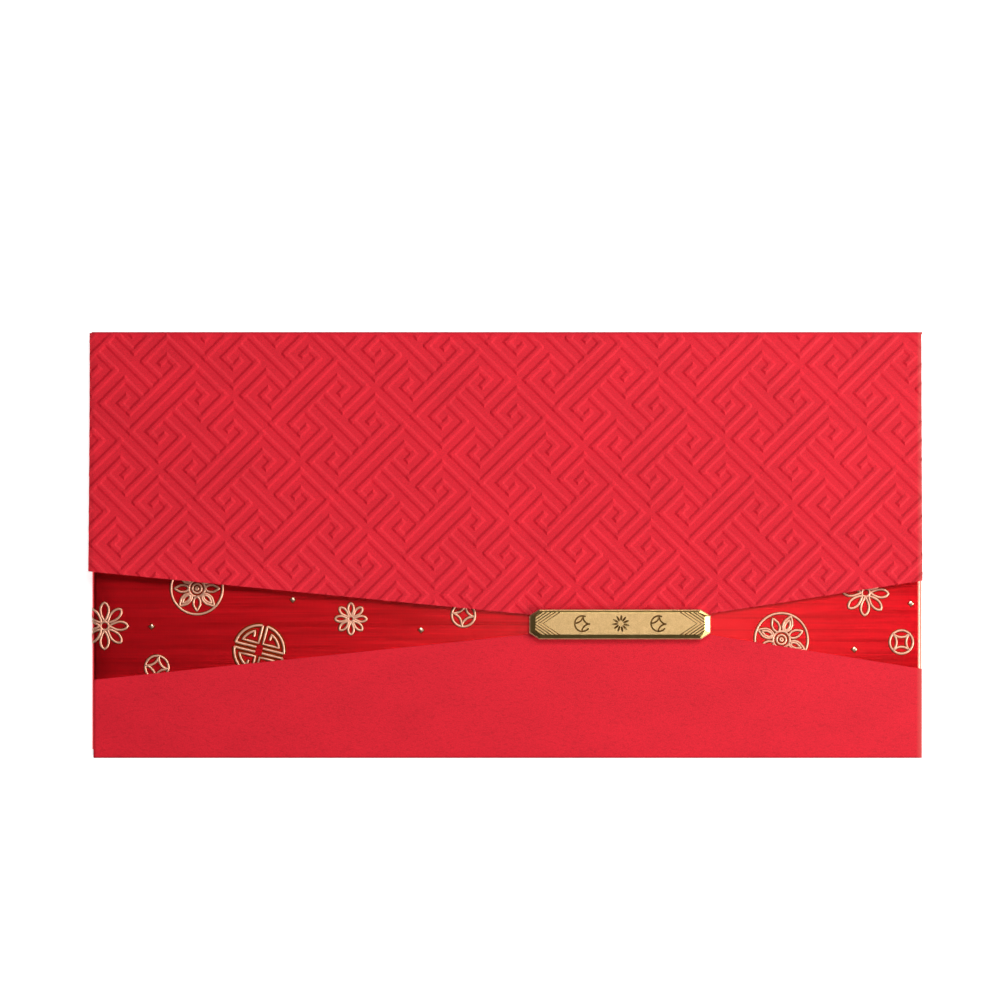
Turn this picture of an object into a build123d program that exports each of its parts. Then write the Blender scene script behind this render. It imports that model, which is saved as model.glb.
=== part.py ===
from build123d import *
import os
from math import asin, atan2, ceil, degrees, hypot

# A red gift envelope, closed, lying on its back with its face up.
# One folded card makes the cover: back, top spine, flap, bottom spine and lower front panel.
# One folded sheet of satin paper makes the pocket inside it, stamped with gold foil motifs.
# A gold clasp plate on the tip of the flap covers the place where flap and panel meet.
# +X runs along the long side, +Y up the face to the fold of the flap, +Z out of the face.
# The origin is the middle of the back. All sizes are in millimetres.

# Cover
WIDTH = 172.0
HEIGHT = 88.3
CARD = 0.4

# The flap and the lower front panel meet in two shallow points, one above the other
MEET_X = 27.0
MEET_UP = 27.8
TIP_LAP = 0.4
FLAP_LEFT_RISE = 11.2
FLAP_RIGHT_RISE = 9.25
PANEL_LEFT_FALL = 11.8
PANEL_RIGHT_FALL = 9.5
FLAP_CLEARANCE = 0.3
CREASE_CLEARANCE = 0.05

# Satin paper pocket
SATIN = 0.3
POCKET_GAP = 1.5
POCKET_SIDE_INSET = 0.05
POCKET_FOOT_INSET = 0.3
MOUTH_DROP = 3.0
TAB_WIDTH = 12.0
TAB_SPACING = 1.0

# Glue films
GLUE = 0.1
GLUE_MARGIN = 1.0
STRIP_WIDTH = 4.0

# Gold foil
FOIL = 0.12
FOIL_CLEARANCE = 0.08
FOIL_LINE = 0.45
FOIL_ROW_SPACING = 0.45
COIN_RADIUS = 2.7
STAR_RADIUS = 0.55
DAISY_PETALS = 8
LOTUS_PETALS = 4

# Gold clasp plate
PLATE_LENGTH = 37.5
PLATE_WIDTH = 6.15
PLATE_RIM = 0.5
PLATE_CORNER_X = 2.0
PLATE_CORNER_Y = 1.3
PLATE_BEVEL = 0.7
PLATE_SHIFT = -3.65
TAPE = 0.2
TAPE_MARGIN = 0.5

# Levels above the table, from the back panel up to the clasp plate
TAB_Z = CARD + GLUE
POCKET_FLOOR_Z = TAB_Z + SATIN
FRONT_Z = POCKET_FLOOR_Z + POCKET_GAP
FOIL_Z = FRONT_Z + SATIN
PANEL_GLUE = FOIL + FOIL_CLEARANCE
PANEL_Z = FOIL_Z + PANEL_GLUE
FLAP_Z = PANEL_Z + CARD + FLAP_CLEARANCE
TAPE_Z = FLAP_Z + CARD
PLATE_Z = TAPE_Z + TAPE

# Places across the face
SIDE_X = WIDTH / 2
TOP_Y = HEIGHT / 2
BOTTOM_Y = -HEIGHT / 2
CREASE_Y = TOP_Y - CARD / 2
PANEL_TOP_Y = CREASE_Y - CARD / 2 - CREASE_CLEARANCE
PANEL_BOTTOM_Y = BOTTOM_Y + CARD
PEAK_Y = BOTTOM_Y + MEET_UP + TIP_LAP / 2
TIP_Y = BOTTOM_Y + MEET_UP - TIP_LAP / 2
POCKET_X = SIDE_X - POCKET_SIDE_INSET
POCKET_BOTTOM_Y = PANEL_BOTTOM_Y + POCKET_FOOT_INSET
POCKET_TOP_Y = CREASE_Y - CARD / 2 - MOUTH_DROP

os.makedirs("parts", exist_ok=True)


def save(piece, name):
    """Label a finished piece and write it to its own file."""
    piece.label = name
    export_step(piece, f"parts/{name}.step")


# Cover, back panel: from the bottom spine up to the rear crease
with BuildPart() as back_panel:
    with BuildSketch():
        with Locations((0, PANEL_BOTTOM_Y)):
            Rectangle(WIDTH, PANEL_TOP_Y - PANEL_BOTTOM_Y, align=(Align.CENTER, Align.MIN))
    extrude(amount=CARD)
save(back_panel.part, "back_panel")

# Cover, top spine: its rounded edges are the two creases, and they turn in the ends of the panels
with BuildPart() as top_spine:
    with BuildSketch(Plane.YZ.offset(-SIDE_X)):
        with Locations((CREASE_Y, (FLAP_Z + CARD) / 2)):
            SlotCenterToCenter(FLAP_Z, CARD, rotation=90)
    extrude(amount=WIDTH)
save(top_spine.part, "top_spine")

# Cover, bottom spine: it joins the back to the lower front panel
with BuildPart() as bottom_spine:
    with BuildSketch(Plane.YZ.offset(-SIDE_X)):
        with Locations((BOTTOM_Y, 0)):
            Rectangle(CARD, PANEL_Z + CARD, align=(Align.MIN, Align.MIN))
    extrude(amount=WIDTH)
    fillet(bottom_spine.edges().filter_by(Axis.X).group_by(Axis.Y)[0], CARD / 2)
save(bottom_spine.part, "bottom_spine")

# Cover, lower front panel: a low gable with its peak under the clasp plate
with BuildPart() as lower_front_panel:
    with BuildSketch(Plane.XY.offset(PANEL_Z)):
        with BuildLine():
            Polyline(
                (-SIDE_X, PANEL_BOTTOM_Y),
                (SIDE_X, PANEL_BOTTOM_Y),
                (SIDE_X, PEAK_Y - PANEL_RIGHT_FALL),
                (MEET_X, PEAK_Y),
                (-SIDE_X, PEAK_Y - PANEL_LEFT_FALL),
                close=True,
            )
        make_face()
    extrude(amount=CARD)
save(lower_front_panel.part, "lower_front_panel")


# Cover, flap: it hangs from the front crease and ends in a shallow point over the panel's peak
def flap_outline(lift=0):
    """Corners of the flap, with its free edge drawn back by a lift."""
    return [
        (-SIDE_X, PANEL_TOP_Y),
        (-SIDE_X, TIP_Y + FLAP_LEFT_RISE + lift),
        (MEET_X, TIP_Y + lift),
        (SIDE_X, TIP_Y + FLAP_RIGHT_RISE + lift),
        (SIDE_X, PANEL_TOP_Y),
    ]


with BuildPart() as flap:
    with BuildSketch(Plane.XY.offset(FLAP_Z)):
        with BuildLine():
            Polyline(*flap_outline(), close=True)
        make_face()
    extrude(amount=CARD)
save(flap.part, "flap")

# Pocket, front sheet: its upper edge is the mouth
with BuildPart() as pocket_front:
    with BuildSketch(Plane.XY.offset(FRONT_Z)):
        with Locations((0, POCKET_BOTTOM_Y)):
            Rectangle(2 * POCKET_X, POCKET_TOP_Y - POCKET_BOTTOM_Y, align=(Align.CENTER, Align.MIN))
    extrude(amount=SATIN)
    fillet(pocket_front.edges().filter_by(Axis.Y).group_by(Axis.Z)[-1], SATIN / 2)
save(pocket_front.part, "pocket_front")

# Pocket, folds: the strips of the sheet that stand between the front and the tabs
TAB_X = POCKET_X - SATIN
TAB_BOTTOM_Y = POCKET_BOTTOM_Y + SATIN
SIDE_LENGTH = POCKET_TOP_Y - TAB_BOTTOM_Y
SIDE_MIDDLE_Y = (POCKET_TOP_Y + TAB_BOTTOM_Y) / 2
SIDES = {"left": -1, "right": 1}
for side, sign in SIDES.items():
    with BuildPart() as side_fold:
        with BuildSketch(Plane.XY.offset(TAB_Z)):
            with Locations((sign * (TAB_X + SATIN / 2), SIDE_MIDDLE_Y)):
                Rectangle(SATIN, SIDE_LENGTH)
        extrude(amount=FRONT_Z - TAB_Z)
    save(side_fold.part, f"pocket_{side}_fold")

with BuildPart() as bottom_fold:
    with BuildSketch(Plane.XY.offset(TAB_Z)):
        with Locations((0, POCKET_BOTTOM_Y + SATIN / 2)):
            Rectangle(2 * POCKET_X, SATIN)
    extrude(amount=FRONT_Z - TAB_Z)
save(bottom_fold.part, "pocket_bottom_fold")

# Pocket, tabs: they turn inwards and are glued to the back panel
BOTTOM_TAB_LENGTH = 2 * (TAB_X - TAB_WIDTH - TAB_SPACING)
TABS = {
    "left": (-TAB_X + TAB_WIDTH / 2, SIDE_MIDDLE_Y, TAB_WIDTH, SIDE_LENGTH),
    "right": (TAB_X - TAB_WIDTH / 2, SIDE_MIDDLE_Y, TAB_WIDTH, SIDE_LENGTH),
    "bottom": (0, TAB_BOTTOM_Y + TAB_WIDTH / 2, BOTTOM_TAB_LENGTH, TAB_WIDTH),
}
for name, (x, y, length, width) in TABS.items():
    with BuildPart() as tab:
        with BuildSketch(Plane.XY.offset(TAB_Z)):
            with Locations((x, y)):
                Rectangle(length, width)
        extrude(amount=SATIN)
    save(tab.part, f"pocket_{name}_tab")
    with BuildPart() as tab_glue:
        with BuildSketch(Plane.XY.offset(CARD)):
            with Locations((x, y)):
                Rectangle(length - 2 * GLUE_MARGIN, width - 2 * GLUE_MARGIN)
        extrude(amount=GLUE)
    save(tab_glue.part, f"{name}_tab_glue")

# Glue strips that hold the lower front panel down on the satin
STRIP_X = POCKET_X - GLUE_MARGIN - STRIP_WIDTH / 2
STRIP_BOTTOM_Y = POCKET_BOTTOM_Y + GLUE_MARGIN
STRIP_SHOULDER_Y = STRIP_BOTTOM_Y + STRIP_WIDTH
LEFT_STRIP_LENGTH = PEAK_Y - PANEL_LEFT_FALL - GLUE_MARGIN - STRIP_SHOULDER_Y
RIGHT_STRIP_LENGTH = PEAK_Y - PANEL_RIGHT_FALL - GLUE_MARGIN - STRIP_SHOULDER_Y
STRIPS = {
    "left": (-STRIP_X, STRIP_SHOULDER_Y, STRIP_WIDTH, LEFT_STRIP_LENGTH),
    "right": (STRIP_X, STRIP_SHOULDER_Y, STRIP_WIDTH, RIGHT_STRIP_LENGTH),
    "bottom": (0, STRIP_BOTTOM_Y, 2 * (POCKET_X - GLUE_MARGIN), STRIP_WIDTH),
}
for name, (x, y, length, width) in STRIPS.items():
    with BuildPart() as panel_glue:
        with BuildSketch(Plane.XY.offset(FOIL_Z)):
            with Locations((x, y)):
                Rectangle(length, width, align=(Align.CENTER, Align.MIN))
        extrude(amount=PANEL_GLUE)
    save(panel_glue.part, f"panel_{name}_glue")

# Gold clasp plate: a long octagon with bevelled edges, taped to the tip of the flap
PLATE_X = MEET_X + PLATE_SHIFT
PLATE_Y = BOTTOM_Y + MEET_UP
HALF_LENGTH = PLATE_LENGTH / 2
HALF_WIDTH = PLATE_WIDTH / 2
with BuildPart() as clasp_plate:
    with BuildSketch(Plane((PLATE_X, PLATE_Y, PLATE_Z))):
        with BuildLine():
            Polyline(
                (HALF_LENGTH, HALF_WIDTH - PLATE_CORNER_Y),
                (HALF_LENGTH - PLATE_CORNER_X, HALF_WIDTH),
                (-HALF_LENGTH + PLATE_CORNER_X, HALF_WIDTH),
                (-HALF_LENGTH, HALF_WIDTH - PLATE_CORNER_Y),
                (-HALF_LENGTH, -HALF_WIDTH + PLATE_CORNER_Y),
                (-HALF_LENGTH + PLATE_CORNER_X, -HALF_WIDTH),
                (HALF_LENGTH - PLATE_CORNER_X, -HALF_WIDTH),
                (HALF_LENGTH, -HALF_WIDTH + PLATE_CORNER_Y),
                close=True,
            )
        make_face()
    extrude(amount=PLATE_RIM + PLATE_BEVEL)
    chamfer(clasp_plate.faces().sort_by(Axis.Z)[-1].edges(), PLATE_BEVEL)
save(clasp_plate.part, "clasp_plate")

# Tape under the plate: the part of the plate's underside that lies on the flap, less a margin
with BuildPart() as clasp_tape:
    with BuildSketch(Plane.XY.offset(TAPE_Z)):
        with BuildLine():
            Polyline(*flap_outline(TAPE_MARGIN), close=True)
        make_face()
        with Locations((PLATE_X, PLATE_Y)):
            Rectangle(
                PLATE_LENGTH - 2 * PLATE_CORNER_X,
                PLATE_WIDTH - 2 * TAPE_MARGIN,
                mode=Mode.INTERSECT,
            )
    extrude(amount=TAPE)
save(clasp_tape.part, "clasp_tape")


# Gold foil motifs: each function draws one motif about its own centre, to its outer radius
def daisy(radius):
    """Eight looped petals round a small ring."""
    petal_length = 0.42 * radius
    petal_width = 0.225 * radius
    heart = 0.22 * radius
    with BuildSketch() as motif:
        with PolarLocations(radius - petal_length, DAISY_PETALS):
            Ellipse(petal_length, petal_width)
        with PolarLocations(radius - petal_length, DAISY_PETALS):
            Ellipse(petal_length - FOIL_LINE, petal_width - FOIL_LINE, mode=Mode.SUBTRACT)
        Circle(heart)
        Circle(heart - FOIL_LINE, mode=Mode.SUBTRACT)
    return motif.sketch


def pointed_petal(inner, outer, half_width):
    """A petal with a point at both ends, along +X."""
    middle = (inner + outer) / 2
    with BuildSketch() as petal:
        with BuildLine():
            ThreePointArc((inner, 0), (middle, half_width), (outer, 0))
            ThreePointArc((outer, 0), (middle, -half_width), (inner, 0))
        make_face()
    return petal.sketch


def lotus_roundel(radius):
    """Ring with open petals and broad slit petals in turn round a ringed heart."""
    heart = 0.3 * radius
    half_width = 0.19 * radius
    open_tip = 0.84 * radius
    slit_tip = radius - FOIL_LINE
    open_petal = pointed_petal(heart, open_tip, half_width)
    open_inside = pointed_petal(heart + FOIL_LINE, open_tip - FOIL_LINE, half_width - FOIL_LINE)
    slit_petal = pointed_petal(heart, slit_tip, half_width)
    slit = pointed_petal(heart + FOIL_LINE, (heart + slit_tip) / 2, FOIL_LINE / 2)
    slit_turn = 180 / LOTUS_PETALS
    with BuildSketch() as motif:
        Circle(radius)
        Circle(slit_tip, mode=Mode.SUBTRACT)
        with PolarLocations(0, LOTUS_PETALS):
            add(open_petal)
            add(open_inside, mode=Mode.SUBTRACT)
        with PolarLocations(0, LOTUS_PETALS, start_angle=slit_turn):
            add(slit_petal)
            add(slit, mode=Mode.SUBTRACT)
        Circle(heart + FOIL_LINE)
        Circle(heart, mode=Mode.SUBTRACT)
        Circle(heart / 2)
    return motif.sketch


def fret_roundel(radius):
    """Ring in four quarters, each with a bar along one arm of a cross and a squared hook."""
    line_radius = radius - FOIL_LINE / 2
    arm = 0.09 * radius
    arm_start = 0.13 * radius
    shelf = 0.26 * radius
    shelf_end = 0.71 * radius
    hook_x = 0.31 * radius
    hook_end = 0.46 * radius
    hook_radius = hypot(shelf_end, shelf)
    hook_top = (hook_radius**2 - hook_x**2) ** 0.5
    hook_from = degrees(atan2(shelf, shelf_end))
    hook_to = degrees(atan2(hook_top, hook_x))
    arm_angle = degrees(asin(arm / line_radius))
    with BuildSketch() as motif:
        with BuildLine():
            CenterArc((0, 0), line_radius, arm_angle, 90 - 2 * arm_angle)
        trace(line_width=FOIL_LINE)
        with BuildLine():
            Line((arm_start, arm), (line_radius, arm))
        trace(line_width=FOIL_LINE)
        with BuildLine():
            Polyline((arm, line_radius), (arm, shelf), (shelf_end, shelf))
        trace(line_width=FOIL_LINE)
        with BuildLine():
            CenterArc((0, 0), hook_radius, hook_from, hook_to - hook_from)
        trace(line_width=FOIL_LINE)
        with BuildLine():
            Line((hook_x, hook_end), (hook_x, hook_top))
        trace(line_width=FOIL_LINE)
        mirror(about=Plane.YZ)
        mirror(about=Plane.XZ)
        Circle(radius, mode=Mode.INTERSECT)
    return motif.sketch


def coin(radius):
    """Ring with a square hole whose four sides bow inwards."""
    line_radius = radius - FOIL_LINE / 2
    with BuildSketch() as motif:
        Circle(radius)
        Circle(radius - FOIL_LINE, mode=Mode.SUBTRACT)
        for quarter in range(4):
            with BuildLine(Plane.XY.rotated((0, 0, 90 * quarter))):
                CenterArc((line_radius, line_radius), line_radius, 180, 90)
            trace(line_width=FOIL_LINE)
    return motif.sketch


def star(radius):
    """Small diamond."""
    with BuildSketch() as motif:
        RegularPolygon(radius, 4)
    return motif.sketch


# Places of the motifs in one row of the print: side, distance in from that side of the cover,
# height above the bottom, radius and turn in degrees. Every second row is turned left for right.
FOIL_PRINT = {
    "foil_daisies": (daisy, [
        ("left", 2.5, 27.4, 5.0, 0),
        ("left", 53.6, 28.85, 3.4, 0),
        ("right", 11.6, 34.3, 4.9, 0),
    ]),
    "foil_lotus_roundels": (lotus_roundel, [
        ("left", 21.65, 35.15, 5.55, 0),
        ("right", 29.1, 24.55, 5.7, 22),
    ]),
    "foil_fret_roundels": (fret_roundel, [
        ("left", 34.55, 22.35, 5.45, -14),
    ]),
    "foil_coins": (coin, [
        ("left", 13.35, 18.8, COIN_RADIUS, -10),
        ("left", 76.95, 29.65, COIN_RADIUS, -10),
        ("right", 4.2, 24.05, COIN_RADIUS, 45),
    ]),
    "foil_stars": (star, [
        ("left", 12.25, 27.25, STAR_RADIUS, 0),
        ("left", 41.55, 32.8, STAR_RADIUS, 0),
        ("left", 68.15, 26.5, STAR_RADIUS, 0),
        ("right", 2.2, 32.0, STAR_RADIUS, 0),
        ("right", 13.95, 22.5, STAR_RADIUS, 0),
    ]),
}
FOIL_HALF = POCKET_X - SATIN / 2
ROW_TOP = max(up + radius for _, places in FOIL_PRINT.values() for _, _, up, radius, _ in places)
ROW_FOOT = min(up - radius for _, places in FOIL_PRINT.values() for _, _, up, radius, _ in places)
ROW_PITCH = ROW_TOP - ROW_FOOT + FOIL_ROW_SPACING
ROW_COUNT = ceil((POCKET_TOP_Y - BOTTOM_Y - ROW_FOOT) / ROW_PITCH)
for name, (draw, places) in FOIL_PRINT.items():
    copies = []
    for row in range(ROW_COUNT):
        flip = -1 if row % 2 else 1
        for side, inset, up, radius, turn in places:
            x = flip * SIDES[side] * (SIDE_X - inset)
            y = BOTTOM_Y + up + row * ROW_PITCH
            copies.append((draw(radius), Location((x, y, 0), (0, 0, flip * turn))))
    with BuildPart() as foil:
        with BuildSketch(Plane.XY.offset(FOIL_Z)):
            for motif, place in copies:
                with Locations(place):
                    add(motif)
            with Locations((0, POCKET_BOTTOM_Y)):
                Rectangle(
                    2 * FOIL_HALF,
                    POCKET_TOP_Y - POCKET_BOTTOM_Y,
                    align=(Align.CENTER, Align.MIN),
                    mode=Mode.INTERSECT,
                )
        extrude(amount=FOIL)
    save(foil.part, name)
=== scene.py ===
# %% [markdown]
# # Red gift envelope
# A landscape envelope lies face up: a folded card cover with an embossed flap, a satin paper pocket
# printed with gold foil, and a small engraved gold plate where the flap meets the lower panel.
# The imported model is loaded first. It fixes every size and place, and says which pieces move together.

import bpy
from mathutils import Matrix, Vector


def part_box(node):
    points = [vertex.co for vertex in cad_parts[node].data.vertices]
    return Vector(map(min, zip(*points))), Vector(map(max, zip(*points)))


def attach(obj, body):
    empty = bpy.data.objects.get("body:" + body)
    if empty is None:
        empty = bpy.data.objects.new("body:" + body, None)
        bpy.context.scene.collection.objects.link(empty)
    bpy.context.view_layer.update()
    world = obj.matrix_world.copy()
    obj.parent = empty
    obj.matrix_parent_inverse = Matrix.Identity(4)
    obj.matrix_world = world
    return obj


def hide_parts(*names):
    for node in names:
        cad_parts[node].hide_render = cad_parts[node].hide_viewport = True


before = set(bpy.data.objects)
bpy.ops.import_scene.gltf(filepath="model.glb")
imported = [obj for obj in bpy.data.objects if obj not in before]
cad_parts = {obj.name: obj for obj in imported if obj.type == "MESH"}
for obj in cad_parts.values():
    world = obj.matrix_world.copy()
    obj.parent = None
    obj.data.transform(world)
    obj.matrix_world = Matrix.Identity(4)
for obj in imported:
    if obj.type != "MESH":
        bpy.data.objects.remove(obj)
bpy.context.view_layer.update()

# %% [markdown]
# Card and paper are thinner than a millimetre, so this lesson counts in millimetres and turns them into
# Blender's metres only where a mesh is made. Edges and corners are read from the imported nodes, so a
# change of size there reaches every piece here.

# %% Measures
import math
from contextlib import contextmanager

import bmesh
import bpy
from mathutils import Vector

MM = 0.001
WELD = 0.01


def box_mm(node):
    """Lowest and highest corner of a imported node, in millimetres."""
    return [[value / MM for value in corner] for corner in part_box(node)]


def corners_mm(node):
    """Corners of a node's flat outline, in order round its middle, in millimetres."""
    found = {(round(v.co.x / MM, 3), round(v.co.y / MM, 3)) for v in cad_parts[node].data.vertices}
    middle_x = sum(x for x, _ in found) / len(found)
    middle_y = sum(y for _, y in found) / len(found)
    return sorted(found, key=lambda p: math.atan2(p[1] - middle_y, p[0] - middle_x))


(LEFT_X, _, _), (RIGHT_X, _, _) = box_mm("back_panel")
(_, SPINE_FOOT_Y, _), (_, SPINE_TOP_Y, _) = box_mm("top_spine")
(_, FLAP_TIP_Y, FLAP_Z), (_, FLAP_TOP_Y, FLAP_TOP_Z) = box_mm("flap")
_, (_, PANEL_PEAK_Y, PANEL_TOP_Z) = box_mm("lower_front_panel")
(_, POCKET_FOOT_Y, POCKET_Z), (POCKET_X, POCKET_TOP_Y, SATIN_TOP_Z) = box_mm("pocket_front")
FOOT_Y = box_mm("bottom_spine")[0][1]
TAB_Z = box_mm("pocket_left_tab")[0][2]
CARD = FLAP_TOP_Z - FLAP_Z
SATIN = SATIN_TOP_Z - POCKET_Z
CREASE_Y = (SPINE_FOOT_Y + SPINE_TOP_Y) / 2
print("card", round(CARD, 3), "satin", round(SATIN, 3), "crease at", round(CREASE_Y, 3))

# %% [markdown]
# Node trees grow long when every node and link is written out. Two helpers keep them readable. A Wire is
# one output socket that can be added, multiplied and so on, each time with a Math node. A Tree adds any
# other node by its type, its settings and the values or wires of its inputs, and a short function uses it
# for sums of vectors.

# %% Node helpers
class Wire:
    """An output socket that takes part in arithmetic."""

    def __init__(self, tree, socket):
        self.tree = tree
        self.socket = socket

    def out(self, name):
        return Wire(self.tree, self.socket.node.outputs[name])

    def math(self, operation, other=0.0):
        return self.tree.node("ShaderNodeMath", {"operation": operation}, {0: self, 1: other})

    def __add__(self, other):
        return self.math("ADD", other)

    def __sub__(self, other):
        return self.math("SUBTRACT", other)

    def __rsub__(self, other):
        return self.tree.node("ShaderNodeMath", {"operation": "SUBTRACT"}, {0: other, 1: self})

    def __mul__(self, other):
        return self.math("MULTIPLY", other)

    def __pow__(self, other):
        return self.math("POWER", other)

    def __lt__(self, other):
        return self.math("LESS_THAN", other)

    def __abs__(self):
        return self.math("ABSOLUTE")


class Tree:
    """A node tree under construction."""

    def __init__(self, node_tree):
        self.nodes = node_tree.nodes
        self.links = node_tree.links

    def node(self, kind, settings=None, inputs=None, output=0):
        made = self.nodes.new(kind)
        for name, value in (settings or {}).items():
            if name == "stops":
                for stop, (place, colour) in zip(made.color_ramp.elements, value):
                    stop.position = place
                    stop.color = (*colour, 1.0)
            else:
                setattr(made, name, value)
        for key, value in (inputs or {}).items():
            if isinstance(value, Wire):
                self.links.new(value.socket, made.inputs[key])
            else:
                made.inputs[key].default_value = value
        return Wire(self, made.outputs[output]) if made.outputs else None


def vector_math(tree, operation, first, second):
    """A Vector Math node on two vectors, or on a vector and a scale."""
    second_socket = "Scale" if operation == "SCALE" else 1
    return tree.node("ShaderNodeVectorMath", {"operation": operation}, {0: first, second_socket: second})


print("node helpers ready")

# %% [markdown]
# Every material starts the same way: a Principled shader, and the object's own coordinates turned into
# millimetres, so that a number in a texture is a size on the real paper. A pattern is stretched by
# scaling those coordinates before a noise reads them.

# %% Material helpers
def start_finish(name, **constants):
    """A new material, its tree, its shader node and its coordinates in millimetres."""
    material = bpy.data.materials.new(name)
    material.use_nodes = True
    tree = Tree(material.node_tree)
    shader = tree.nodes["Principled BSDF"]
    for key, value in constants.items():
        shader.inputs[key.replace("_", " ")].default_value = value
    place = tree.node("ShaderNodeTexCoord").out("Object")
    return material, tree, shader, vector_math(tree, "SCALE", place, 1 / MM)


def noise(tree, place, stretch, detail=2.0, roughness=0.5, distortion=0.0):
    """Noise from 0 to 1, with its own number of waves per millimetre along each axis."""
    scaled = vector_math(tree, "MULTIPLY", place, stretch)
    inputs = {"Vector": scaled, "Scale": 1.0, "Detail": detail, "Roughness": roughness}
    return tree.node("ShaderNodeTexNoise", {}, {**inputs, "Distortion": distortion})


def blend_colours(tree, factor, dark, light):
    """A colour between two, by a factor from 0 to 1."""
    stops = [(0.0, dark), (1.0, light)]
    return tree.node("ShaderNodeValToRGB", {"stops": stops}, {"Fac": factor})


def paint_highlight(tree, painted_highlight, plain_colour, highlight_colour):
    """A colour moved towards a painted highlight colour, by a factor from 0 to 1."""
    inputs = {"Factor": painted_highlight, 6: plain_colour, 7: (*highlight_colour, 1.0)}
    return tree.node("ShaderNodeMix", {"data_type": "RGBA"}, inputs, output=2)


def limit(wire):
    """A value held between 0 and 1."""
    return wire.tree.node("ShaderNodeClamp", {}, {"Value": wire})


def feed(tree, shader, **wires):
    """Link wires to the shader's inputs."""
    for key, wire in wires.items():
        tree.links.new(wire.socket, shader.inputs[key.replace("_", " ")])


def bump(tree, height, depth):
    """A bump whose height of 1 stands for a depth in millimetres."""
    return tree.node("ShaderNodeBump", {}, {"Height": height, "Distance": depth * MM})


print("material helpers ready")

# %% [markdown]
# The cover is red felt-marked card. The felt of the paper machine leaves short wavelets along the sheet,
# and between them the surface is a fine grain of fibres. A wavelet is drawn where a stretched noise passes
# its middle value, and a second noise breaks it into short strokes. The flap was pressed flat in the
# embossing die, so its marks are weaker: one function makes both finishes, with a number for the depth of
# the marks and one for the strength of the painted shade. Painted shade darkens the colour along the
# crease and along the left edge, which faces away from the light, and a painted highlight makes the right
# edge, which faces the light, paler.

# %% Card finishes
CARD_DARK = (0.40, 0.003, 0.012)
CARD_LIGHT = (0.88, 0.012, 0.032)
CARD_EDGE_HIGHLIGHT = (0.66, 0.085, 0.075)


def felt_card(name, marks, edge_shade_strength):
    """Red card with felt marks, painted shade at the crease and left edge, and a painted right-edge
    highlight.
    """
    material, tree, shader, place = start_finish(name, Specular_IOR_Level=0.25)
    waves = noise(tree, place, (0.6, 1.9, 1.0), detail=1.5, roughness=0.55, distortion=1.2)
    breaks = noise(tree, place, (0.8, 1.7, 1.0), detail=1.0)
    grain = noise(tree, place, (5.5, 6.5, 6.0), detail=2.0, roughness=0.6)
    cloud = noise(tree, place, (0.09, 0.14, 0.1), detail=1.0)
    worms = limit(1 - abs(waves - 0.5) * 12) * limit((breaks - 0.42) * 5)
    spot = tree.node("ShaderNodeSeparateXYZ", {}, {0: place})
    from_left = spot.out("X") - LEFT_X
    from_right = RIGHT_X - spot.out("X")
    from_ends = CREASE_Y + CARD / 2 - abs(spot.out("Y"))
    # Painted shade: darker along the left edge, which faces away from the light, and along the crease.
    painted_edge_shade = limit(1.5 - from_left * 1.6) * edge_shade_strength + limit(1.2 - from_ends * 2.4) * 0.4
    # Painted highlight: paler along the right edge, which faces the light.
    painted_highlight = limit(1.15 - from_right * 1.0) * 0.85
    tone = (grain - 0.5) * 1.3 + (cloud - 0.5) * 0.3 - worms * marks - painted_edge_shade + (marks * 0.45 + 0.56)
    plain_tone_colour = blend_colours(tree, tone, CARD_DARK, CARD_LIGHT)
    colour = paint_highlight(tree, painted_highlight, plain_tone_colour, CARD_EDGE_HIGHLIGHT)
    feed(tree, shader, Base_Color=colour, Roughness=grain * 0.12 + 0.56)
    feed(tree, shader, Normal=bump(tree, grain * 0.4 - worms * marks, 0.05))
    return material


# The last number is the strength of the painted shade at the crease and the left edge.
felt_red = felt_card("felt_red_card", 0.22, 0.75)
pressed_red = felt_card("pressed_red_card", 0.1, 0.25)
print("card finishes:", felt_red.name, pressed_red.name)

# %% [markdown]
# The pocket is satin-finish paper. Its threads all run along the envelope, with long slubs among them and
# soft bands. The slubs and bands are partly the paper's own tone and partly painted sheen, so they fade
# out towards the left end of the sheet, away from the sheen. A painted highlight makes the fold at the
# right end, which faces the light, pale. Satin throws light back in its own colour, which a plain paint
# doesn't, so the shader is a red metal, and a thin clear coat gives the pale glint on the folds.

# %% Satin finish
SATIN_DARK = (0.61, 0.001, 0.005)
SATIN_LIGHT = (1.0, 0.008, 0.018)
SATIN_FOLD_HIGHLIGHT = (0.52, 0.24, 0.165)
HIGHLIGHT_FOLD_WIDTH = 0.9
WEAVE_SHIFT = (0.0, 9.6, 0.0)


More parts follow.
